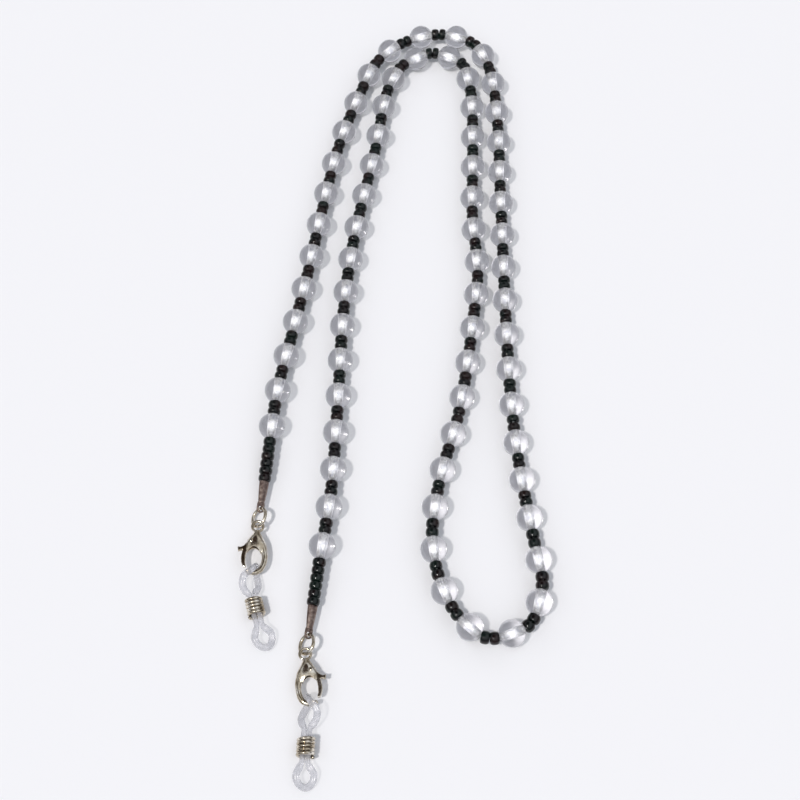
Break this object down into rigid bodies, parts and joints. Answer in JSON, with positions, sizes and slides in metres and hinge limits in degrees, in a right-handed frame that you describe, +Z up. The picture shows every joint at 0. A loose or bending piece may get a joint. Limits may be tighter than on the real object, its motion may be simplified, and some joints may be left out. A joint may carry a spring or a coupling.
{
  "type": "eyeglass retainer strap",
  "caption": "Beaded eyeglass retainer strap with clear and black beads on a cord, lobster clasps and silicone temple loops with coiled sliders.",
  "frame": {"origin": "On the table under the middle of the laid-out strap, the bottom centre of its bounding box.", "axes": "+X to the lower loop's side, +Y along the strap's length from the clasps to the outer arc, +Z up from the table."},
  "size_m": [0.0679, 0.1949, 0.006],
  "materials": {
    "beads": "clear polished beads with glossy black seed beads between them",
    "black_seed_bead": "glossy opaque black glass",
    "nylon_cord": "clear monofilament nylon",
    "cord_end_nickel": "dark nickel plate, satin",
    "champagne_silver": "pale champagne plate, polished",
    "spring_steel": "drawn steel wire",
    "clear_silicone": "milky translucent silicone, smooth"
  },
  "bodies": {
    "strand": {"bead_run_04": "beads", "bead_run_05": "beads", "bead_run_06": "beads", "bead_run_07": "beads", "bead_run_08": "beads", "bead_run_09": "beads", "bead_run_14": "beads", "bead_run_15": "beads", "bead_run_16": "beads", "bead_run_17": "beads", "bead_run_18": "beads", "bead_run_19": "beads", "inner_cord": "nylon_cord", "outer_cord": "nylon_cord"},
    "left_leg": {"bead_run_01": "beads", "bead_run_02": "beads", "bead_run_03": "beads", "left_cord_end": "cord_end_nickel", "left_end_seed_1": "black_seed_bead", "left_end_seed_2": "black_seed_bead", "left_end_seed_3": "black_seed_bead", "left_end_seed_4": "black_seed_bead", "left_end_seed_5": "black_seed_bead", "left_end_seed_6": "black_seed_bead", "left_leg_cord": "nylon_cord"},
    "right_leg": {"bead_run_20": "beads", "bead_run_21": "beads", "bead_run_22": "beads", "right_cord_end": "cord_end_nickel", "right_end_seed_1": "black_seed_bead", "right_end_seed_2": "black_seed_bead", "right_end_seed_3": "black_seed_bead", "right_end_seed_4": "black_seed_bead", "right_end_seed_5": "black_seed_bead", "right_end_seed_6": "black_seed_bead", "right_leg_cord": "nylon_cord"},
    "lower_loop": {"bead_run_10": "beads", "bead_run_11": "beads", "bead_run_12": "beads", "bead_run_13": "beads", "lower_loop_cord": "nylon_cord"},
    "left_ring": {"left_jump_ring": "champagne_silver"},
    "left_clasp": {"left_clasp_body": "champagne_silver", "left_clasp_pin": "champagne_silver", "left_clasp_spring": "spring_steel"},
    "left_lever": {"left_clasp_lever": "champagne_silver"},
    "left_loop": {"left_temple_loop": "clear_silicone"},
    "left_slider": {"left_coil_slider": "champagne_silver"},
    "right_ring": {"right_jump_ring": "champagne_silver"},
    "right_clasp": {"right_clasp_body": "champagne_silver", "right_clasp_pin": "champagne_silver", "right_clasp_spring": "spring_steel"},
    "right_lever": {"right_clasp_lever": "champagne_silver"},
    "right_loop": {"right_temple_loop": "clear_silicone"},
    "right_slider": {"right_coil_slider": "champagne_silver"}
  },
  "joints": [
    {"name": "left_leg_swing", "type": "hinge", "parent": "strand", "child": "left_leg", "pos_m": [-0.01417, 0.05961, 0.003], "axis": [0, 0, -1], "range_deg": [-1, 20]},
    {"name": "right_leg_swing", "type": "hinge", "parent": "strand", "child": "right_leg", "pos_m": [-0.00852, 0.04072, 0.003], "axis": [0, 0, 1], "range_deg": [-1, 10]},
    {"name": "lower_loop_lift", "type": "hinge", "parent": "strand", "child": "lower_loop", "pos_m": [0.02671, -0.01643, 0.003], "axis": [-0.9876, 0.1569, 0], "range_deg": [0, 20]},
    {"name": "left_ring_swing", "type": "hinge", "parent": "left_leg", "child": "left_ring", "pos_m": [-0.02949, -0.03677, 0.0023], "axis": [-0.7041, 0.0653, -0.7071], "range_deg": [0, 40]},
    {"name": "left_clasp_swing", "type": "hinge", "parent": "left_ring", "child": "left_clasp", "pos_m": [-0.02988, -0.04095, 0.0023], "axis": [-0.7041, 0.0653, -0.7071], "range_deg": [0, 35]},
    {"name": "left_lever_open", "type": "hinge", "parent": "left_clasp", "child": "left_lever", "pos_m": [-0.03103, -0.04448, 0.0023], "axis": [0, 0, 1], "range_deg": [0, 12], "stiffness_Nm_per_rad": 0.002, "springref_deg": -11.46, "deforming": ["left_clasp_spring"]},
    {"name": "left_loop_swing", "type": "hinge", "parent": "left_clasp", "child": "left_loop", "pos_m": [-0.03007, -0.05152, 0.0023], "axis": [-0.9976, 0.0698, 0], "range_deg": [0, 40]},
    {"name": "left_slider_slide", "type": "slide", "parent": "left_loop", "child": "left_slider", "axis": [0.2588, -0.9659, 0], "range_m": [-0.0008, 0.0012]},
    {"name": "right_ring_swing", "type": "hinge", "parent": "right_leg", "child": "right_ring", "pos_m": [-0.01817, -0.06535, 0.0023], "axis": [-0.7019, 0.0857, -0.7071], "range_deg": [0, 40]},
    {"name": "right_clasp_swing", "type": "hinge", "parent": "right_ring", "child": "right_clasp", "pos_m": [-0.01868, -0.06952, 0.0023], "axis": [-0.7019, 0.0857, -0.7071], "range_deg": [0, 35]},
    {"name": "right_lever_open", "type": "hinge", "parent": "right_clasp", "child": "right_lever", "pos_m": [-0.01728, -0.07296, 0.0023], "axis": [0, 0, -1], "range_deg": [0, 12], "stiffness_Nm_per_rad": 0.002, "springref_deg": -11.46, "deforming": ["right_clasp_spring"]},
    {"name": "right_loop_swing", "type": "hinge", "parent": "right_clasp", "child": "right_loop", "pos_m": [-0.01775, -0.08004, 0.0023], "axis": [-0.9903, -0.1392, 0], "range_deg": [0, 40]},
    {"name": "right_slider_slide", "type": "slide", "parent": "right_loop", "child": "right_slider", "axis": [-0.0349, -0.9994, 0], "range_m": [-0.0014, 0.0008]}
  ]
}
